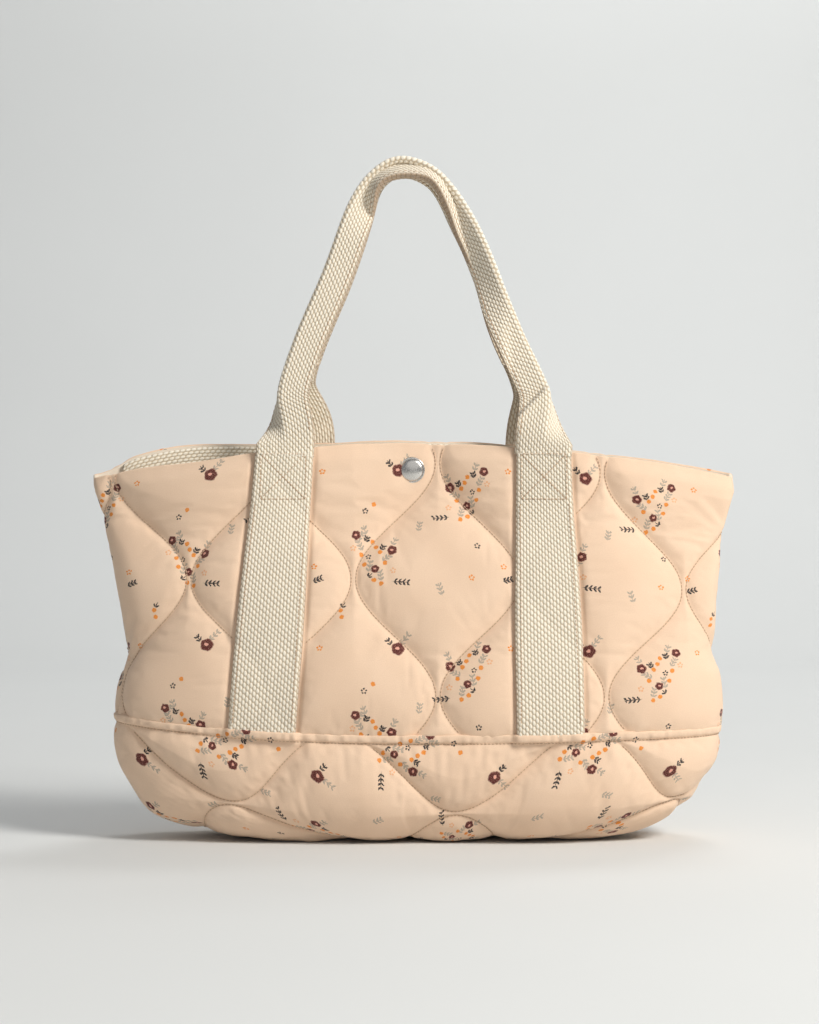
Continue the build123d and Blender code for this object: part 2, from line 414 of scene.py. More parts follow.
class Surface:
    """Quilted cloth as a grid: plain points, outward normals, cloth coordinates and rise."""

    def finish(self, grid, normal, across, along, rise):
        self.grid, self.normal = grid, normal
        self.across, self.along = across, along
        self.outer = grid + normal * rise[..., None]
        self.inner = grid - normal * (THICKNESS - 0.2 + 0.4 * rise)[..., None]
        self.by_cloth = Lookup(across, along)

    def at(self, place, lift=0.0, layer=None):
        """Points between the grid's own, lifted along the normal, and the normals there."""
        row, column = place
        layer = self.outer if layer is None else layer
        low_row = np.clip(np.floor(row).astype(int), 0, layer.shape[0] - 2)
        low_column = np.clip(np.floor(column).astype(int), 0, layer.shape[1] - 2)
        up, on = (row - low_row)[..., None], (column - low_column)[..., None]

        def mix(values):
            corners = [values[low_row + b, low_column + a] for b in (0, 1) for a in (0, 1)]
            return between(corners, on, up)

        normal = unit(mix(self.normal))
        return mix(layer) + normal * np.asarray(lift)[..., None], normal


class Wall(Surface):
    """The front or back wall: rows go up, columns go from the left seam to the right one."""

    rows, columns = 156, 340

    def __init__(self, front):
        self.front = front
        self.left, self.right, self.depth, self.pinch = (
            curve_through(WALL_LEVELS[:, 0], WALL_LEVELS[:, column]) for column in (1, 2, 3, 4))
        side, share = np.meshgrid(np.linspace(-1, 1, self.columns), np.linspace(0, 1, self.rows))
        low = SEAM_Z - LAP
        x = side * MOUTH_HALF_WIDTH
        for _ in range(2):
            height = low + (self.mouth_line(x) - low) * share
            grid, across = self.outline(side, height)
            x = grid[..., 0]
        self.share = share
        normal = -self.front * grid_normals(grid)
        along = height + CORNER_DROP * (x / MOUTH_HALF_WIDTH) ** 2 * np.clip(
            (height - SEAM_Z) / (MOUTH_Z - SEAM_Z), 0, 1) - LEFT_PULL * smoothstep(50, 115, -x)
        self.finish(grid, normal, across, along, self.quilting(grid, normal, across, along))
        self.by_front = Lookup(grid[..., 0], grid[..., 2])

    def mouth_line(self, x):
        line = MOUTH_Z - CORNER_DROP * (x / MOUTH_HALF_WIDTH) ** 2
        rise, middle, reach = BACK_SWELL if self.front == BACK else FRONT_DIP
        swell = rise * np.exp(-((x - middle) / reach) ** 2)
        if self.front == FRONT:
            return line + swell
        return line + BACK_MOUTH_RISE + swell * smoothstep(-MOUTH_HALF_WIDTH, -160, x)

    def outline(self, side, height):
        """Points at a share of each half's girth, and their distance along the cloth."""
        fine = np.sin(np.linspace(0, math.pi / 2, 240))
        points, across = np.zeros((*side.shape, 3)), np.zeros(side.shape)
        for row, (sides, heights) in enumerate(zip(side, height)):
            for sign, width in ((-1, self.left), (1, self.right)):
                half = sides * sign > 0
                z = heights[half]
                level = z.mean()
                reach = self.reach(fine, level)
                length = length_along(fine * width(level), reach)
                want = np.abs(sides[half]) * length[-1]
                part = np.interp(want, length, fine)
                points[row, half, 0] = sign * part * width(z)
                points[row, half, 1] = self.front * self.reach(part, z)
                across[row, half] = sign * want
        points[..., 2] = height
        return points, across

    def reach(self, part, z):
        """Distance from the middle to the surface, at a share of the half width."""
        depth, pinch = self.depth(z), self.pinch(z)
        rounded = depth * np.maximum(0, 1 - part**3) ** (1 / 3)
        pinched = PINCH_HALF_DEPTH + (LOBE_HALF_DEPTH - PINCH_HALF_DEPTH) * np.sin(math.pi * part) ** 2
        pinched = pinched * np.maximum(0, 1 - part**14) ** 0.5
        return (1 - pinch) * rounded + pinch * pinched

    def quilting(self, grid, normal, across, along):
        x, z = grid[..., 0], grid[..., 2]
        lines = ogee_distance(across, along, WALL_FIRST_COLUMN, WALL_PINCH_START, WALL_PERIOD)
        girth = np.abs(across).max(1, keepdims=True)
        border = np.minimum(np.abs(z - seam_line(x)), girth - np.abs(across) + 0.5)
        border = np.minimum(border, self.mouth_line(x) - z + 2.5)
        rise = quilted_height(lines, border, across, along, 20 + 10 * self.front)
        stitches = np.minimum(lines, border)
        held = stitches < HELD_REACH
        for _, side in SIDES:
            held |= off_strap(self.front, side, x, z) < 0
        rise = settled(WALL_CLOTH_SHARE, rise, stitches, grid, normal, held, 2)
        for _, side in SIDES:
            edge = off_strap(self.front, side, x, z)
            under = 1 - smoothstep(-1.5, 6, edge)
            groove = 1.5 * np.exp(-((edge - 0.6) / 1.3) ** 2)
            rise = rise * (1 - under) + (0.6 + 0.25 * rise) * under - groove
        pressed = np.exp(-(np.hypot(x, z - SNAP_Z) / 10) ** 2)
        rise = rise * (1 - pressed) + 0.8 * pressed
        tucked = smoothstep(0, 3, seam_line(x) - z)
        return rise * (1 - tucked) - TUCK * tucked

    def build(self, name):
        """One closed piece: the quilted outside, the rolled mouth edge and the inside."""
        near_top = 0.5 * smoothstep(0.95, 1, self.share)[..., None]
        middle = (self.outer + self.inner) / 2
        outer = self.outer * (1 - near_top) + middle * near_top
        inner = self.inner * (1 - near_top) + middle * near_top
        centre, half = (outer[-1] + inner[-1]) / 2, (outer[-1] - inner[-1]) / 2
        reach = np.linalg.norm(half, axis=-1)
        rim = []
        for turn in np.linspace(0, math.pi, 8)[1:-1]:
            edge = centre + half * math.cos(turn)
            edge[:, 2] += reach * math.sin(turn)
            rim.append(edge)
        cloth = np.stack([self.across, self.along], -1)
        rim_cloth = np.repeat(cloth[-1:], len(rim), 0)
        rim_cloth[..., 1] += np.linspace(0.7, 4.5, len(rim))[:, None]
        grid = np.concatenate([outer, rim, inner[::-1]])
        cloth = np.concatenate([cloth, rim_cloth, cloth[::-1]])
        inside = np.arange(len(grid)) >= self.rows + len(rim) - 1
        return closed_sheet(name, grid, cloth, ["printed_cloth", "backing_cloth"], inside)


class Base(Surface):
    """The base panel: rows go down from its turned top edge and in under the bag, columns go round."""

    rows, under_rows, columns = 100, 34, 720
    reference_height = 47.0

    def __init__(self):
        self.left, self.right, self.depth = (
            curve_through(BASE_LEVELS[:, 0], BASE_LEVELS[:, column]) for column in (1, 2, 3))
        share = np.linspace(0, 1, self.rows)[:, None] * np.ones(self.columns)
        x = np.zeros_like(share)
        for _ in range(3):
            height = (seam_line(x) + LIP) * (1 - share)
            ring = [self.ring(z, 0) for z in height.mean(1)]
            x = np.array([points[:, 0] for points, _ in ring])
        rings = [self.rescale(points, z) for (points, _), z in zip(ring, height)]
        for inset in np.linspace(0, self.depth(0.0), self.under_rows)[1:]:
            points, _ = self.ring(0.0, inset)
            rings.append(points)
        grid = np.array(rings)
        _, girth = self.ring(self.reference_height, 0)
        steps = np.linalg.norm(np.diff(grid, axis=0), axis=-1)
        down = np.concatenate([np.zeros((1, self.columns)), np.cumsum(steps, 0)]) - LIP
        across = (np.arange(self.columns) / self.columns - 0.5) * girth * np.ones_like(down)
        closed = np.concatenate([grid, grid[:, :1]], 1)
        normal = -grid_normals(closed)[:, :-1]
        normal[:, 0] = unit(normal[:, 1] + normal[:, -1])
        normal[self.rows + 2:] = (0, 0, -1)
        low = 1 - smoothstep(0, FLAT_REACH, grid[..., 2:])
        grid = grid - normal * 3.2 * low
        self.finish(grid, normal, across, down, self.quilting(grid, normal, across, down))

    def ring(self, z, inset):
        """An outline from the middle of the back round to it again, and its girth."""
        turn = np.linspace(0, 2 * math.pi, 1200)
        width = np.where(turn < math.pi, self.left(z), self.right(z)) - inset
        depth = self.depth(z) - inset
        power = 2 / 3 + (1 - 2 / 3) * inset / self.depth(0.0)
        x = -np.sign(np.sin(turn)) * np.abs(np.sin(turn)) ** power * width
        y = np.sign(np.cos(turn)) * np.abs(np.cos(turn)) ** power * depth
        length = length_along(x, y)
        want = np.arange(self.columns) / self.columns * length[-1]
        points = np.stack([np.interp(want, length, x), np.interp(want, length, y)], -1)
        return np.concatenate([points, np.full((self.columns, 1), z)], -1), length[-1]

    def rescale(self, points, z):
        """A ring made at its mean height, put at each point's own height."""
        mean = z.mean()
        width = np.where(points[:, 0] < 0, self.left(z) / self.left(mean), self.right(z) / self.right(mean))
        depth = self.depth(z) / self.depth(mean)
        return np.stack([points[:, 0] * width, points[:, 1] * depth, z], -1)

    def quilting(self, grid, normal, across, down):
        lines = ogee_distance(down, across, BASE_FIRST_ROW, BASE_PINCH_START, BASE_PERIOD)
        rise = quilted_height(lines, np.abs(down) + 0.2, across, down, 51)
        stitches = np.minimum(lines, np.clip(down, 0, None))
        held = stitches < HELD_REACH
        rise = settled(BASE_CLOTH_SHARE, rise, stitches, grid, normal, held, 3, wrap=True)
        x, z = grid[..., 0], grid[..., 2]
        front = np.where(grid[..., 1] < 0, FRONT, BACK)
        over_strap = np.zeros_like(x)
        for wall in (FRONT, BACK):
            for _, side in SIDES:
                under = 1 - smoothstep(-1, 3, off_strap(wall, side, x, z))
                over_strap = np.maximum(over_strap, (front == wall) * under)
        lip = 1 - ((down + LIP / 2) / (LIP / 2)) ** 2
        pucker = noise(across / 2.3, down / 7, 61) + 0.7 * noise(across / 8, down / 9, 62)
        ridge = (LIP_LOW + LIP_RISE * np.clip(lip, 0, 1) ** 0.35 * (1 + LIP_PUCKER * pucker)
                 + LIP_OVER_STRAP * over_strap)
        below = rise + 0.9 * np.exp(-down / 2) + BASE_OVER_STRAP * over_strap * np.exp(-down / 3)
        rise = np.where(down < 0, ridge, below)
        return rise * (0.65 + 0.35 * smoothstep(0, FLAT_REACH, z))

    def build(self, name):
        top = (self.outer[:1] + self.inner[:1]) / 2
        grid = np.concatenate([self.inner[::-1], top, self.outer])
        cloth = np.stack([self.along + BASE_PRINT_DOWN, self.across + BASE_PRINT_ACROSS], -1)
        cloth = np.concatenate([cloth[::-1], cloth[:1], cloth])
        cloth = np.concatenate([cloth, cloth[:, :1] + (0, self.across[0, -1] - self.across[0, 0] + 1)], 1)
        inside = np.repeat(np.arange(len(grid) - 1) < len(self.inner), self.columns)
        faces = grid_faces(*grid.shape[:2], wrap_columns=True)
        corner_uv = grid_faces(len(grid), self.columns + 1)
        return make_mesh(name, grid.reshape(-1, 3), faces, ["printed_cloth", "backing_cloth"],
                         cloth.reshape(-1, 2)[corner_uv].reshape(-1, 2), inside.astype(int), weld=True)


def closed_sheet(name, grid, cloth, slots, inside=None):
    """A sheet with thickness: its rows go over one face, round the edge and back over the other."""
    rows, columns = grid.shape[:2]
    faces = grid_faces(rows, columns, wrap_rows=True)
    ends = [end_ladder(rows, columns, column) for column in (0, columns - 1)]
    second = np.zeros(len(faces), int)
    if inside is not None:
        second = np.repeat(inside, columns - 1).astype(int)
    second = np.concatenate([second, *(np.full(len(end), int(inside is not None)) for end in ends)])
    faces = np.concatenate([faces, *ends])
    return make_mesh(name, grid.reshape(-1, 3), faces, slots,
                     cloth.reshape(-1, 2)[faces].reshape(-1, 2), second)


# ---------------------------------------------------------------- webbing

def weave_rise(across, along):
    """Relief of the webbing's upright ovals, with each column half a step from its neighbours."""
    column = np.floor(across / WARP_PITCH + 0.5)
    step = along / WEFT_PITCH + 0.5 * (column % 2)
    b = (step - np.floor(step + 0.5)) * 2
    a = (across / WARP_PITCH - column) * 2 + YARN_SLANT * b
    return WEAVE_RISE * np.sqrt(np.clip(1 - 0.85 * a * a - 0.9 * b * b, 0, 1))


def webbing(name, middle, normal, across, along, half_width):
    """Closed webbing from the grid of its middle surface, whose rows run along its length."""
    edge = np.clip(1 - ((np.abs(across) - half_width + 1.0) / 1.0).clip(0, 1) ** 2, 0, 1) ** 0.5
    half = WEBBING_THICKNESS / 2 * (0.25 + 0.75 * edge)
    relief = weave_rise(across, along) * edge
    front = middle + normal * (half + relief)[..., None]
    other = weave_rise(across + WARP_PITCH, along) * edge
    back = middle - normal * (half + other)[..., None]
    cloth = np.stack([across, along], -1)
    piece = closed_sheet(name, np.concatenate([front, back[::-1]]),
                         np.concatenate([cloth, cloth[::-1]]), ["webbing"])
    return piece


def build_strap(name, wall, side):
    """Webbing sewn flat on the wall, from under the base panel's edge to the mouth."""
    rows, columns = np.arange(SEAM_Z - 3, STRAP_TOP, 0.6), np.linspace(-1, 1, 96)
    height, share = np.meshgrid(rows, columns, indexing="ij")
    half = strap_half_width(wall.front, side, height)
    x = strap_middle(wall.front, side, height) + share * half
    place = wall.by_front.find(x, height)
    slump = 0.5 * noise(x / 16, height / 26, 71) + 0.25 * noise(x / 6, height / 9, 72)
    middle, normal = wall.at(place, STRAP_LIFT + WEBBING_THICKNESS / 2 + 0.3 * slump)
    along = height - STRAP_TOP
    return webbing(name, middle, normal, share * WEBBING_WIDTH / 2, along, WEBBING_WIDTH / 2)


def build_mouth_tape(name, wall):
    """Webbing that faces the inside of the mouth."""
    columns, rows = np.arange(-TAPE_REACH, TAPE_REACH + 0.1, 0.65), np.linspace(TAPE_TOP, TAPE_WIDTH, 52)
    x, drop = np.meshgrid(columns, rows)
    place = wall.by_front.find(x, wall.mouth_line(x) - drop)
    middle, normal = wall.at(place, TAPE_LIFT, wall.inner)
    across = drop - (TAPE_TOP + TAPE_WIDTH) / 2
    return webbing(name, middle, -normal, across, x, (TAPE_WIDTH - TAPE_TOP) / 2)


def handle_frame(front):
    """Points along the crease, with the ways in to the loop's middle and to the bag's inside."""
    route = np.array(HANDLE_ROUTE, float)
    if front == BACK:
        low = 1 - smoothstep(235, 268, route[:, 1])
        route[:, 0] = route[:, 0] * (1 - (1 - BACK_FEET_SHARE) * low) + BACK_FEET_SHIFT * low
        route[:, 1] = np.minimum(route[:, 1], HANDLE_TOP - 1)
    length = length_along(*route.T)
    along = np.arange(0, length[-1], 0.6)
    x, z = (curve_through(length, route[:, k])(along) for k in (0, 1))
    for _ in range(80):
        x[1:-1] = (x[:-2] + x[2:]) / 2
        z[1:-1] = (z[:-2] + z[2:]) / 2
    rise = (z - HINGE_Z) / (HANDLE_TOP - HINGE_Z)
    reach = HINGE_HALF_DEPTH + (GRIP_HALF_DEPTH - HINGE_HALF_DEPTH) * rise
    centre = np.stack([x, front * reach, z], -1)
    tangent = unit(np.gradient(centre, axis=0))
    back = np.array((0.0, -front, 0.0))
    back = unit(back - tangent * (tangent @ back)[:, None])
    return along, centre, -front * np.cross(back, tangent), back


def build_handle(name, wall):
    """A handle's free webbing: flat at the mouth, then folded in half lengthwise."""
    along, centre, inward, back = handle_frame(wall.front)
    peak = along[np.argmax(centre[:, 2])]
    past = along - peak
    twist = math.radians(APEX_TWIST) * smoothstep(*TWIST_RISE, past)
    twist = twist * (1 - 0.4 * smoothstep(*TWIST_EASE, past) - 0.6 * smoothstep(*TWIST_END, past))
    turn_in, turn_back = np.cos(twist)[:, None], np.sin(twist)[:, None]
    inward, back = inward * turn_in - back * turn_back, back * turn_in + inward * turn_back
    ends = np.minimum(along, along[-1] - along)
    fold = np.arccos(1 - 2 * np.clip((ends - FOLD_START) / FOLD_LENGTH, 0, 1))
    half = STRAP_TOP_HALF + (GRIP_HALF - STRAP_TOP_HALF) * smoothstep(0, 40, ends)
    share = np.linspace(1, -1, 110)
    across = share * half[:, None]
    step = (half * (share[0] - share[1]))[:, None, None]
    turn = (fold[:, None] * (1 - smoothstep(-CREASE_REACH, CREASE_REACH, across)))[..., None]
    inward, back = inward[:, None], back[:, None]
    way = (-inward * np.cos(turn) + back * np.sin(turn)) * step
    middle = centre[:, None] + inward * half[:, None, None] + np.cumsum(way, axis=1) - way[:, :1]
    normal = -back * np.cos(turn) - inward * np.sin(turn)
    if wall.front == FRONT:
        middle = middle + back * dog_ear(middle)[..., None]
    lie_on_wall(middle, wall, ends < 34)
    cloth = share * WEBBING_WIDTH / 2 * np.ones_like(across)
    piece = webbing(name, middle, normal, cloth, along[:, None] + 0 * across, WEBBING_WIDTH / 2)
    return piece, along, middle, normal


def dog_ear(middle):
    """How far the right leg steps back above the slanting fold over its strap."""
    (x, z), slope = DOG_EAR, math.radians(DOG_EAR_SLOPE)
    above = (middle[..., 2] - z) * math.cos(slope) - (middle[..., 0] - x) * math.sin(slope)
    on_leg = smoothstep(50, 58, middle[..., 0])
    lip = np.exp(-((above + 1.8) / 1.8) ** 2)
    return on_leg * (3.2 * smoothstep(-0.8, 0.9, above) * (1 - smoothstep(14, 60, above)) - 1.0 * lip)


def lie_on_wall(middle, wall, rows):
    """Brings the feet of a handle to where the straps lie on the wall."""
    x, z = middle[rows][..., 0], middle[rows][..., 2]
    place = wall.by_front.find(x, np.minimum(z, wall.mouth_line(x) - 1))
    on_wall, _ = wall.at(place, STRAP_LIFT + WEBBING_THICKNESS / 2 + 0.2)
    leaves = smoothstep(STRAP_TOP + 1, STRAP_TOP + 20, z)
    middle[rows, :, 1] = on_wall[..., 1] * (1 - leaves) + middle[rows][..., 1] * leaves


# ---------------------------------------------------------------- thread

def build_thread(name, routes, radius=THREAD_RADIUS):
    """Stitches as short spindles, each from one (start, end) pair of points."""
    starts = np.concatenate([route[0] for route in routes])
    ends = np.concatenate([route[1] for route in routes])
    normals = np.concatenate([route[2] for route in routes])
    way = unit(ends - starts)
    side = unit(np.cross(way, normals))
    sides = 6
    rings = ((0.0, 0.35, -0.35), (0.25, 0.95, 0.0), (0.5, 1.1, 0.12), (0.75, 0.95, 0.0), (1.0, 0.35, -0.35))
    points = []
    for share, size, lift in rings:
        spot = starts + (ends - starts) * share + normals * lift * radius * 2
        for turn in np.arange(sides) * 2 * math.pi / sides:
            points.append(spot + (side * math.cos(turn) + normals * math.sin(turn)) * radius * size)
    points = np.stack(points, 1)
    count, each = points.shape[:2]
    quads = grid_faces(len(rings), sides, wrap_columns=True)
    first = np.arange(count)[:, None, None] * each
    body = (first + quads[None]).reshape(-1, 4)
    caps = [np.arange(sides)[::-1], np.arange(each - sides, each)]
    faces = [*body, *(cap + k * each for k in range(count) for cap in caps)]
    thread = make_mesh(name, points.reshape(-1, 3), faces, ["thread"])
    return thread


def stitch_route(surface, place, lift=THREAD_LIFT):
    """(start, end, normal) of the stitches on a line of places on a surface."""
    inside = [(0.5 < at) & (at < count - 1.5) for at, count in zip(place, surface.grid.shape)]
    return even_stitches(*surface.at(place, lift), inside[0] & inside[1])


def even_stitches(points, normals, keep, pitch=STITCH_PITCH):
    """Stitches evenly spaced on a line of points, where keep says so."""
    length = np.concatenate([[0], np.cumsum(np.linalg.norm(np.diff(points, axis=0), axis=-1))])
    starts = np.arange(0, length[-1] - pitch, pitch)

    def spot(values, at):
        return np.stack([np.interp(at, length, values[:, k]) for k in range(3)], -1)

    shown = np.interp(starts, length, keep.astype(float)) > 0.99
    starts = starts[shown]
    ends = starts + pitch * STITCH_SHARE
    return spot(points, starts), spot(points, ends), unit(spot(normals, starts + pitch / 2))


def ogee_lines(first, start, period, low, high, reach):
    """(across, along) of each quilting line within a reach either side of the middle."""
    along = np.arange(low, high, LINE_STEP)
    last = math.ceil(reach / OGEE_PITCH)
    for index in range(-last, last + 1):
        yield ogee_line(index, 2 * math.pi * (along - start) / period, first), along


def off_straps(wall, across, along):
    """Splits a line where it goes under a strap or off the wall, and gives what is left."""
    place = wall.by_cloth.find(across, along)
    points, normals = wall.at(place, THREAD_LIFT)
    x, z = points[:, 0], points[:, 2]
    keep = (z > seam_line(x) + LIP) & (along < MOUTH_Z - 0.5)
    keep &= np.abs(wall.across[place[0].astype(int)][:, -1]) - 1 > np.abs(across)
    for _, side in SIDES:
        keep &= off_strap(wall.front, side, x, z) > 0.5
    return even_stitches(points, normals, keep)


# ---------------------------------------------------------------- materials

OBJECT_SPACE = 3  # the output of a texture coordinate node


class Shader:
    """Adds nodes to a new material, one call for each."""

    def __init__(self, name, roughness=0.85):
        self.material = bpy.data.materials.new(name)
        self.material.use_nodes = True
        self.tree = self.material.node_tree
        self.surface = self.tree.nodes["Principled BSDF"]
        self.surface.inputs["Roughness"].default_value = roughness

    def add(self, kind, inputs=(), output=0, **settings):
        """A new node's output. The inputs are in order, or by number or name in a dictionary."""
        node = self.tree.nodes.new(kind)
        for key, value in settings.items():
            setattr(node, key, value)
        self.feed(node, inputs if isinstance(inputs, dict) else dict(enumerate(inputs)))
        return node.outputs[output]

    def feed(self, node, inputs):
        """Links or sets a node's inputs, apart from any that are None."""
        for key, value in inputs.items():
            if isinstance(value, bpy.types.NodeSocket):
                self.tree.links.new(value, node.inputs[key])
            elif value is not None:
                node.inputs[key].default_value = value

    def math(self, operation, *inputs):
        return self.add("ShaderNodeMath", inputs, operation=operation)

    def vector(self, operation, *inputs):
        output = 1 if operation in ("LENGTH", "DOT_PRODUCT", "DISTANCE") else 0
        return self.add("ShaderNodeVectorMath", inputs, output, operation=operation)

    def split(self, vector):
        """A vector's first two coordinates."""
        return self.add("ShaderNodeSeparateXYZ", [vector]).node.outputs[:2]

    def cloth(self):
        """Cloth coordinates in millimetres."""
        place = self.add("ShaderNodeUVMap", uv_map="fabric")
        return self.vector("MULTIPLY", place, (1000, 1000, 0))

    def solid(self):
        """Coordinates in the object's own space, in millimetres."""
        place = self.add("ShaderNodeTexCoord", output=OBJECT_SPACE)
        return self.vector("MULTIPLY", place, (1000, 1000, 1000))

    def noise(self, place, scale, detail=2.0, output=0):
        return self.add("ShaderNodeTexNoise", {"Vector": place, "Scale": scale, "Detail": detail}, output)

    def wave(self, place, way, scale, **more):
        inputs = {"Vector": place, "Scale": scale, **more}
        return self.add("ShaderNodeTexWave", inputs, 1, bands_direction=way)

    def span(self, value, low, high, to_low=0.0, to_high=1.0):
        return self.add("ShaderNodeMapRange", (value, low, high, to_low, to_high))

    def mix(self, share, first, second):
        """A mix of two colours. A mix node keeps its colours in inputs 6 and 7 and in output 2."""
        return self.add("ShaderNodeMix", {0: share, 6: first, 7: second}, 2, data_type="RGBA")

    def tint(self, colour, value, low, high, most, ink):
        """The colour with some ink over it where a value is high."""
        return self.mix(self.span(value, low, high, 0, most), colour, ink)

    def bump(self, height, distance, strength, normal=None):
        inputs = {"Strength": strength, "Distance": distance * MM, "Height": height, "Normal": normal}
        return self.add("ShaderNodeBump", inputs)

    def finish(self, colour, normal=None, sheen=0.0, **more):
        self.feed(self.surface, {"Base Color": colour, "Normal": normal, "Sheen Weight": sheen,
                                 "Sheen Roughness": 0.5, **more})
        return self.material

    # Printed marks. Each is a value that is under 1 inside its shape.

    def ellipse(self, place, x, y, wide, high):
        scale = np.array((2 / wide, 2 / high, 0))
        local = self.vector("MULTIPLY_ADD", place, tuple(scale), tuple(-scale * (x, y, 0)))
        return self.vector("LENGTH", local)

    def circle(self, place, x, y, size):
        return self.math("MULTIPLY", self.vector("DISTANCE", place, (x, y, 0)), 2 / size)

    def turned(self, place, x, y, turn, mirror=False):
        """Coordinates from (x, y) in axes turned by an angle, with both sides alike if mirrored."""
        way = np.array((math.cos(math.radians(turn)), math.sin(math.radians(turn)), 0))
        side = np.array((-way[1], way[0], 0))
        along, off = (self.math("ADD", self.vector("DOT_PRODUCT", place, tuple(axis)), -axis @ (x, y, 0))
                      for axis in (way, side))
        if mirror:
            off = self.math("ABSOLUTE", off)
        return self.add("ShaderNodeCombineXYZ", (along, off))

    def nearest(self, marks):
        """The least of some marks. Each is made just before it is used, which keeps the shader small."""
        marks = iter(marks)
        least = next(marks)
        for mark in marks:
            least = self.math("MINIMUM", least, mark)
        return least

    def five_dots(self, place, x, y, size=3.6):
        for turn in range(90, 450, 72):
            way = math.radians(turn)
            across, up = 0.34 * size * math.cos(way), 0.34 * size * math.sin(way)
            yield self.circle(place, x + across, y + up, 0.31 * size)

    def sprig(self, place, x, y, length, turn, pairs=3):
        """A stem with pairs of slanting leaves."""
        local = self.turned(place, x, y, turn, mirror=True)
        yield self.ellipse(local, 0, 0, length, 0.55)
        cos, sin = math.cos(math.radians(LEAF_SLANT)), math.sin(math.radians(LEAF_SLANT))
        leaning = self.turned(local, 0, 0, LEAF_SLANT)
        for k in range(pairs):
            base = length * (k / pairs - 0.3)
            leaf = (base * cos + LEAF_OFF * sin, LEAF_OFF * cos - base * sin)
            yield self.ellipse(leaning, *leaf, *LEAF_SIZE)

    def blossom(self, place, x, y, size, open_middle):
        """Five soft lobes, as a ring if open in the middle."""
        local = self.vector("SUBTRACT", place, (x, y, 0))
        across, up = self.split(local)
        turn = self.math("ARCTAN2", up, across)
        lobes = self.math("COSINE", self.math("MULTIPLY_ADD", turn, 5.0, x))
        edge = self.math("MULTIPLY_ADD", lobes, 0.03 * size, 0.47 * size)
        outside = self.math("DIVIDE", self.vector("LENGTH", local), edge)
        if not open_middle:
            return outside
        hole = self.ellipse(place, x - 0.05 * size, y + 0.04 * size, 0.33 * size, 0.25 * size)
        return self.math("MAXIMUM", outside, self.math("SUBTRACT", 2.0, hole))

    def inked(self, value):
        return self.span(value, 0.92, 1.12, 1.0, 0.0)


# Places in the printed cloth's repeat, in millimetres from the large blossom
PRINT_REPEAT = (107.4, 100.6)
LARGE_BLOSSOM, LARGE_BLOSSOM_SIZE = (-7.9, 110.2), 7.4
POSY_A, POSY_B = (-13.0, 49.7), (39.0, -14.1)
POSY_BLOSSOMS = ((-10.7, 14.1, 5.2), (9.6, 4.5, 5.6), (0.0, -5.6, 4.6))
POSY_ORANGE_DOTS = ((-1.1, 10.7), (0.6, 7.3), (2.8, 4.0), (-7.6, 3.4), (-5.9, -2.3), (5.6, -2.5),
                    (-0.6, -11.9), (3.4, -14.1))
POSY_PALE_STARS = ((-12.4, 6.8), (10.2, -7.3))
POSY_BLACK_STARS = ((-3.7, 2.0, 3.2),)
DOT, POSY_REACH = 2.5, 24.0
LEAF_SLANT, LEAF_OFF, LEAF_SIZE = 42, 0.95, (2.2, 1.0)
POSY_SPRIGS = ((-4.5, 12.4, 3.2, 70, 2), (4.5, 6.8, 3.2, 60, 2), (14.6, -13.8, 9.6, -6, 4),
               (-2.6, -8.8, 2.6, 40, 1))
POSY_GREY_SPRIGS = ((-8.5, 8.5, 6, 120, 3), (-3.0, -3.5, 7, 80, 3), (6.5, 0.5, 6, 30, 3),
                    (3.0, -9.5, 6, 100, 3), (11, 10, 5, 60, 2), (-6, 17, 5, 110, 2))
LOOSE_ORANGE_DOTS = ((-14.0, -19.8), (-32.2, 22.0), (-31.6, 18.0))
LOOSE_ORANGE_STARS = ((-44.0, 0.6), (-47.5, 46.3), (41.8, 39.0), (-4.0, -47.5))
LOOSE_BLACK_STARS = ((-19.0, -23.7), (45.2, -43.6))
LOOSE_SPRIGS = ((-5.2, 4.2, 4.4, 130, 2), (-45.2, 39.0, 5.6, 20, 3), (-30.5, 25.4, 3.4, 60, 1))
LOOSE_GREY_SPRIGS = ((4.0, 5.6, 8, 50, 3), (24, 32, 7, 110, 3), (-22, -38, 7, 40, 3), (12, -33, 6, 80, 3))

KNIT_SCALE = 0.55
BASE_PRINT_DOWN, BASE_PRINT_ACROSS = -26.9, 170.7

CLOTH_LIT = (0.87, 0.645, 0.465, 1)
CLOTH_WARM = (0.80, 0.565, 0.39, 1)
MAROON = (0.095, 0.014, 0.010, 1)
ORANGE = (0.80, 0.26, 0.03, 1)
BLACK = (0.022, 0.017, 0.020, 1)
GREY = (0.44, 0.36, 0.28, 1)
PINK = (0.74, 0.36, 0.27, 1)
PALE = (0.80, 0.42, 0.22, 1)
WEBBING_LIGHT = (0.95, 0.885, 0.76, 1)
WEBBING_DARK = (0.58, 0.465, 0.32, 1)
WEBBING_FLECK = (0.66, 0.56, 0.41, 1)
WEBBING_SHADE = (0.45, 0.37, 0.25, 1)
# Painted shadow: a thin brown line along the webbing's edges, where the edge meets the cloth in a shadow
# gap, with the distance from the middle where it starts and where it is full
PAINTED_EDGE_SHADOW, EDGE_SHADOW_FROM = (0.30, 0.17, 0.08, 1), (18.2, 19.1)


def repeated(shader, place, centre):
    """Cloth coordinates from the nearest repeat of a place in the print."""
    x, y = (a + b for a, b in zip(LARGE_BLOSSOM, centre))
    local = shader.vector("SUBTRACT", place, (x, y, 0))
    wide, high = (repeat / 2 for repeat in PRINT_REPEAT)
    return shader.vector("WRAP", local, (wide, high, 1), (-wide, -high, -1))


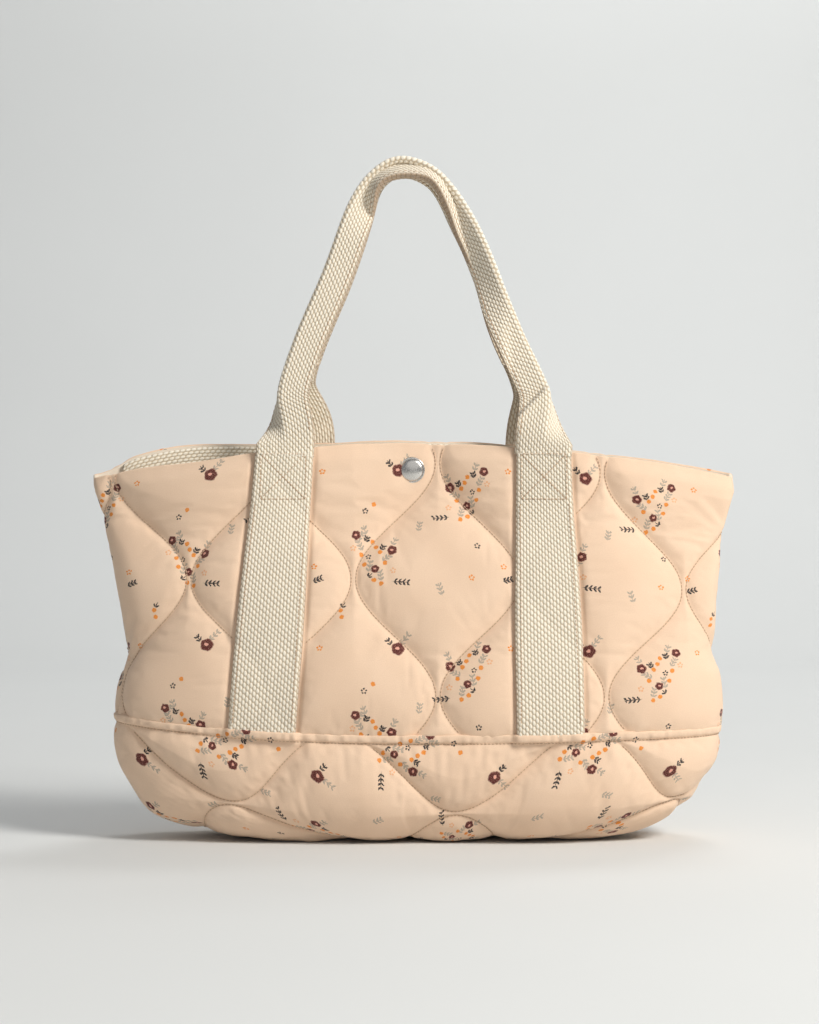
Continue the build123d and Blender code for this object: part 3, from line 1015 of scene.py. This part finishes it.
def printed_marks(shader, place):
    """Marks of each colour: posies in two mirrored places, and loose flowers between them."""
    first, second = repeated(shader, place, POSY_A), repeated(shader, place, POSY_B)
    mirrored = shader.vector("MULTIPLY", second, (-1, 1, 1))
    near = shader.math("LESS_THAN", shader.vector("LENGTH", mirrored), POSY_REACH)
    posy = shader.add("ShaderNodeMix", {0: near, 4: first, 5: mirrored}, 1, data_type="VECTOR")
    loose = repeated(shader, place, (0, 0))

    def dots(at, spots):
        return (shader.circle(at, *spot, DOT) for spot in spots)

    def each(shape, at, spots):
        return (mark for spot in spots for mark in shape(at, *spot))

    def blossoms(open_middle):
        yield shader.blossom(loose, 0, 0, LARGE_BLOSSOM_SIZE, open_middle)
        for spot in POSY_BLOSSOMS:
            yield shader.blossom(posy, *spot, open_middle)

    yield GREY, chain(each(shader.sprig, posy, POSY_GREY_SPRIGS),
                      each(shader.sprig, loose, LOOSE_GREY_SPRIGS))
    yield ORANGE, chain(dots(posy, POSY_ORANGE_DOTS), dots(loose, LOOSE_ORANGE_DOTS),
                        each(shader.five_dots, loose, LOOSE_ORANGE_STARS))
    yield PALE, each(shader.five_dots, posy, POSY_PALE_STARS)
    yield BLACK, chain(each(shader.sprig, posy, POSY_SPRIGS), each(shader.sprig, loose, LOOSE_SPRIGS),
                       each(shader.five_dots, loose, LOOSE_BLACK_STARS),
                       each(shader.five_dots, posy, POSY_BLACK_STARS))
    yield PINK, blossoms(open_middle=False)
    yield MAROON, blossoms(open_middle=True)


def printed_cloth():
    """Peach knit with a small scattered print."""
    shader = Shader("printed_cloth", 0.88)
    place = shader.cloth()
    tone = shader.span(shader.noise(place, 0.035, 3), 0.35, 0.65)
    colour = shader.mix(tone, CLOTH_LIT, CLOTH_WARM)
    colour = shader.mix(0.35, CLOTH_LIT, colour)
    rib = shader.wave(place, "X", KNIT_SCALE, Distortion=1.2, Detail=2)
    fleck = shader.noise(place, 1.6, 4)
    colour = shader.tint(colour, fleck, 0.3, 0.7, 0.24, (0.62, 0.40, 0.27, 1))
    colour = shader.tint(colour, rib, 0, 1, 0.10, (0.60, 0.41, 0.29, 1))
    wobble = shader.vector("MULTIPLY_ADD", shader.noise(place, 0.9, 2, 1), (1.3, 1.3, 0), (-0.65, -0.65, 0))
    worn = shader.span(shader.noise(place, 2.2, 3), 0.32, 0.46, 0.55, 1.0)
    for ink, marks in printed_marks(shader, shader.vector("ADD", place, wobble)):
        mask = shader.math("MULTIPLY", shader.inked(shader.nearest(marks)), worn)
        colour = shader.mix(mask, colour, ink)
    height = shader.math("MULTIPLY_ADD", rib, 0.5, fleck)
    return shader.finish(colour, shader.bump(height, 0.16, 0.5), sheen=0.12)


def backing_cloth():
    """Plain warm white cotton."""
    shader = Shader("backing_cloth", 0.9)
    place = shader.cloth()
    weave = shader.wave(place, "DIAGONAL", 0.6)
    fleck = shader.noise(place, 1.1, 4)
    colour = shader.mix(fleck, (0.78, 0.66, 0.52, 1), (0.86, 0.77, 0.65, 1))
    return shader.finish(colour, shader.bump(weave, 0.1, 0.5), sheen=0.1)


def webbing_cloth():
    """Coarse cotton webbing: upright ovals of twisted yarn, with shaded gaps between them, and a painted
    shadow along its edges.
    """
    shader = Shader("webbing", 0.9)
    place = shader.cloth()
    work, tint = shader.math, shader.tint
    across, along = shader.split(place)
    column = work("DIVIDE", across, WARP_PITCH)
    whole = work("FLOOR", work("ADD", column, 0.5))
    odd = work("MULTIPLY", work("FLOORED_MODULO", whole, 2.0), 0.5)
    step = work("MULTIPLY_ADD", along, 1 / WEFT_PITCH, odd)
    b = work("MULTIPLY", work("SUBTRACT", step, work("ROUND", step)), 2.0)
    a = work("MULTIPLY", work("SUBTRACT", column, whole), 2.0)
    a = work("MULTIPLY_ADD", b, YARN_SLANT, a)
    oval = shader.span(work("ADD", work("MULTIPLY", a, a), work("MULTIPLY", b, b)), 0.35, 1.15, 1.0, 0.0)
    twist = shader.wave(place, "DIAGONAL", 0.75, Distortion=1.5)
    fleck = shader.noise(place, 1.3, 4)
    colour = tint(shader.mix(oval, WEBBING_DARK, WEBBING_LIGHT), fleck, 0.3, 0.7, 0.24, WEBBING_FLECK)
    colour = tint(colour, twist, 0, 1, 0.12, WEBBING_SHADE)
    # Painted shadow: a thin brown line along both edges of the webbing
    colour = tint(colour, work("ABSOLUTE", across), *EDGE_SHADOW_FROM, 0.75, PAINTED_EDGE_SHADOW)
    fine = shader.bump(work("MULTIPLY_ADD", twist, 0.6, fleck), 0.12, 0.6)
    return shader.finish(colour, shader.bump(oval, 0.35, 0.55, fine), sheen=0.15)


def thread_cotton():
    shader = Shader("thread", 0.7)
    place = shader.solid()
    colour = shader.mix(shader.noise(place, 1.2, 2), (0.50, 0.33, 0.20, 1), (0.68, 0.49, 0.34, 1))
    ply = shader.wave(place, "DIAGONAL", 1.5)
    return shader.finish(colour, shader.bump(ply, 0.08, 0.6), sheen=0.1)


def snap_metal():
    """Polished nickel with faint rubbing marks."""
    shader = Shader("snap_metal", 0.22)
    place = shader.solid()
    rub = shader.noise(place, 0.9, 5)
    polish = shader.span(rub, 0.3, 0.7, 0.14, 0.34)
    colour = shader.mix(rub, (0.62, 0.59, 0.55, 1), (0.76, 0.74, 0.71, 1))
    return shader.finish(colour, shader.bump(rub, 0.03, 0.3), Roughness=polish, Metallic=1.0)


def plain_stage():
    shader = Shader("pale_floor", 0.95)
    place = shader.add("ShaderNodeTexCoord", output=OBJECT_SPACE)
    colour = shader.mix(shader.noise(place, 3.0, 2), (0.70, 0.71, 0.70, 1), (0.73, 0.74, 0.73, 1))
    return shader.finish(colour)


# ---------------------------------------------------------------- snap

def build_cap(name, front, cad_cap):
    """A domed cap with a rolled rim, turned about the snap's axis."""
    dome = [(6.3 * math.sin(t), 1.25 + 1.55 * math.cos(t)) for t in np.linspace(0.0, math.pi / 2, 14)]
    rim = [(6.95 + 0.55 * math.cos(t), 0.75 + 0.55 * math.sin(t)) for t in np.linspace(2.4, -1.7, 14)]
    profile = dome + [(6.42, 1.02)] + rim + [(6.0, 0.0), (0.0, 0.0)]
    sides = 72
    turns = np.arange(sides) * 2 * math.pi / sides
    seat = abs(cad_cap[0 if front == FRONT else 1].y) / MM - SNAP_RISE
    points = []
    for radius, rise in profile:
        points += [(radius * math.cos(turn), front * (seat + rise), SNAP_Z + radius * math.sin(turn))
                   for turn in turns]
    faces = grid_faces(len(profile), sides, wrap_columns=True)
    return make_mesh(name, np.array(points), faces, ["snap_metal"], weld=True)


# ---------------------------------------------------------------- putting it together

LEAN_FULL_Z, LEAN_SIDES = 200, (94, 178)


def follow_front_wall(piece):
    """Bakes the piece's placement into its mesh, and finds how much of a lean each point would take: none
    at the base and side seams. The lean is not applied.
    """
    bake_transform(piece)
    points = np.zeros(len(piece.data.vertices) * 3, np.float32)
    piece.data.vertices.foreach_get("co", points)
    x, _, z = (points.reshape(-1, 3) / MM).T
    share = smoothstep(SEAM_Z + 6, LEAN_FULL_Z, z) * (1 - smoothstep(*LEAN_SIDES, np.abs(x)))


def follow_handle(piece, front):
    """Bakes the piece's placement into its mesh."""
    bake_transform(piece)


def strap_thread(wall, side):
    """The crossed box at the mouth, and the stitching down both edges of a strap."""
    lift = STRAP_LIFT + WEBBING_THICKNESS + WEAVE_RISE
    middle, half = strap_middle(wall.front, side, BOX_Z), BOX_WIDTH / 2
    low, high = BOX_Z - BOX_HEIGHT / 2, BOX_Z + BOX_HEIGHT / 2
    corners = [(middle - half, low), (middle + half, low), (middle + half, high), (middle - half, high)]
    lines = [(corners[k], corners[(k + 1) % 4]) for k in range(4)]
    lines += [(corners[0], corners[2]), (corners[1], corners[3])]
    for hand in (-1, 1):
        lines.append([(strap_middle(wall.front, side, z)
                       + hand * (strap_half_width(wall.front, side, z) - STRAP_STITCH_EDGE), z)
                      for z in (SEAM_Z + LIP, low - 2)])
    for start, end in lines:
        x, z = (np.linspace(a, b, 60) for a, b in zip(start, end))
        yield stitch_route(wall, wall.by_front.find(x, z), lift)


def build_wall(name, front):
    wall = Wall(front)
    panel = wall.build(f"{name}_wall_quilted")
    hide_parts(*(f"{name}_panel_{layer}" for layer in ("face", "wadding", "backing")))
    lines = ogee_lines(WALL_FIRST_COLUMN, WALL_PINCH_START, WALL_PERIOD, SEAM_Z - 8, MOUTH_Z,
                       wall.across[:, -1].max())
    thread = build_thread(f"{name}_quilting_thread", [off_straps(wall, *line) for line in lines])
    tape = build_mouth_tape(f"{name}_mouth_webbing", wall)
    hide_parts(f"{name}_mouth_tape")
    pieces = [panel, thread, tape]
    for side_name, side in SIDES:
        strap = build_strap(f"{name}_strap_webbing_{side_name}", wall, side)
        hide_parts(f"{name}_strap_{side_name}")
        routes = list(strap_thread(wall, side))
        stitching = build_thread(f"{name}_strap_stitching_{side_name}", routes, STRAP_THREAD_RADIUS)
        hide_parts(f"{name}_box_stitch_{side_name}")
        pieces += [strap, stitching]
    for piece in pieces:
        if front == FRONT:
            follow_front_wall(piece)
        else:
            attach(piece, "bag")
    cap = build_cap(f"snap_{name}_dome", front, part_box(f"snap_{name}_cap"))
    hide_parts(f"snap_{name}_cap")
    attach(cap, "front_wall" if front == FRONT else "bag")
    return wall


def build_base_panel():
    base = Base()
    panel = base.build("base_quilted")
    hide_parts(*(f"base_panel_{layer}" for layer in ("face", "wadding", "backing")))
    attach(panel, "bag")
    round_base = np.linspace(base.across[0, 1], base.across[0, -2], 2000)
    routes = [stitch_route(base, base.by_cloth.find(round_base, BASE_STITCH_DOWN))]
    ends = (-base.across[0, -1], base.across[0, -1])
    for down, across in ogee_lines(BASE_FIRST_ROW, BASE_PINCH_START, BASE_PERIOD, *ends, 95):
        place = base.by_cloth.find(across, np.clip(down, 0, None))
        keep = (down > 2.5) & (down < base.along[-1, 0] - 2) & (place[0] < base.grid.shape[0] - 3)
        routes.append(even_stitches(*base.at(place, THREAD_LIFT), keep))
    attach(build_thread("base_quilting_thread", routes), "bag")


def build_handle_pieces(name, wall):
    piece, along, middle, normal = build_handle(f"{name}_handle_webbing", wall)
    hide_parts(f"{name}_handle_loop")
    follow_handle(piece, wall.front)
    keep = (along > HANDLE_STITCH_ENDS) & (along < along[-1] - HANDLE_STITCH_ENDS)
    routes = []
    for column in (8, middle.shape[1] - 9):
        points = middle[:, column] + normal[:, column] * (WEBBING_THICKNESS / 2 + WEAVE_RISE - 0.05)
        routes.append(even_stitches(points, normal[:, column], keep, HANDLE_STITCH_PITCH))
    thread = build_thread(f"{name}_handle_stitching", routes, HANDLE_THREAD_RADIUS)
    follow_handle(thread, wall.front)


def finish_cad_metal():
    for name in ("snap_socket", "snap_stud"):
        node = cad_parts[name]
        node.data.materials.clear()
        node.data.materials.append(MATERIALS["snap_metal"])


def build_stage():
    """A pale floor that curves up behind the bag."""
    radius, near, far_back, wide, tall = 900.0, -5000.0, 2600.0, 6000.0, 6000.0
    profile = [(near, 0.0), (far_back - radius, 0.0)]
    for turn in np.linspace(0, math.pi / 2, 24)[1:]:
        profile.append((far_back - radius + radius * math.sin(turn), radius - radius * math.cos(turn)))
    profile.append((far_back, tall))
    points = [(side * wide, y, z) for y, z in profile for side in (-1, 1)]
    floor = make_mesh("floor", np.array(points), grid_faces(len(profile), 2), ["stage"])


def add_light(name, size, power, place, target, colour=(1, 1, 1)):
    data = bpy.data.lights.new(name, "AREA")
    data.shape, data.size, data.energy, data.color = "DISK", size, power, colour
    light = placed(name, data)
    light.location = place
    light.rotation_euler = (Vector(target) - Vector(place)).to_track_quat("-Z", "Y").to_euler()


def build_lights():
    middle = (0, 0, 0.17)
    add_light("key", 0.8, 45, (1.35, -1.1, 1.5), middle, (1.0, 0.975, 0.935))
    add_light("fill", 2.2, 5, (0.2, -2.4, 1.3), middle, (1.0, 0.98, 0.95))
    add_light("backdrop", 1.2, 27, (0.6, 1.3, 2.3), (-0.2, 2.6, 0.3))
    world = bpy.data.worlds.new("studio")
    world.use_nodes = True
    background = world.node_tree.nodes["Background"]
    background.inputs["Color"].default_value = (0.93, 0.96, 1.0, 1)
    background.inputs["Strength"].default_value = 0.27
    bpy.context.scene.world = world
    bpy.context.scene.view_settings.view_transform = "Standard"


def build_camera():
    """Level and straight in front."""
    distance, frame_height, middle_x, middle_z = 1.45, 0.5786, -0.0014, 0.187
    data = bpy.data.cameras.new("camera")
    data.lens = data.sensor_width * distance / frame_height
    camera = placed("camera", data)
    camera.location = (middle_x, -distance - 0.03, middle_z)
    camera.rotation_euler = (math.pi / 2, 0, 0)
    bpy.context.scene.camera = camera


MATERIALS = {
    "printed_cloth": printed_cloth(),
    "backing_cloth": backing_cloth(),
    "webbing": webbing_cloth(),
    "thread": thread_cotton(),
    "snap_metal": snap_metal(),
    "stage": plain_stage(),
}
for wall_name, wall_front in (("front", FRONT), ("back", BACK)):
    build_handle_pieces(wall_name, build_wall(wall_name, wall_front))
build_base_panel()
finish_cad_metal()
build_stage()
build_lights()
build_camera()
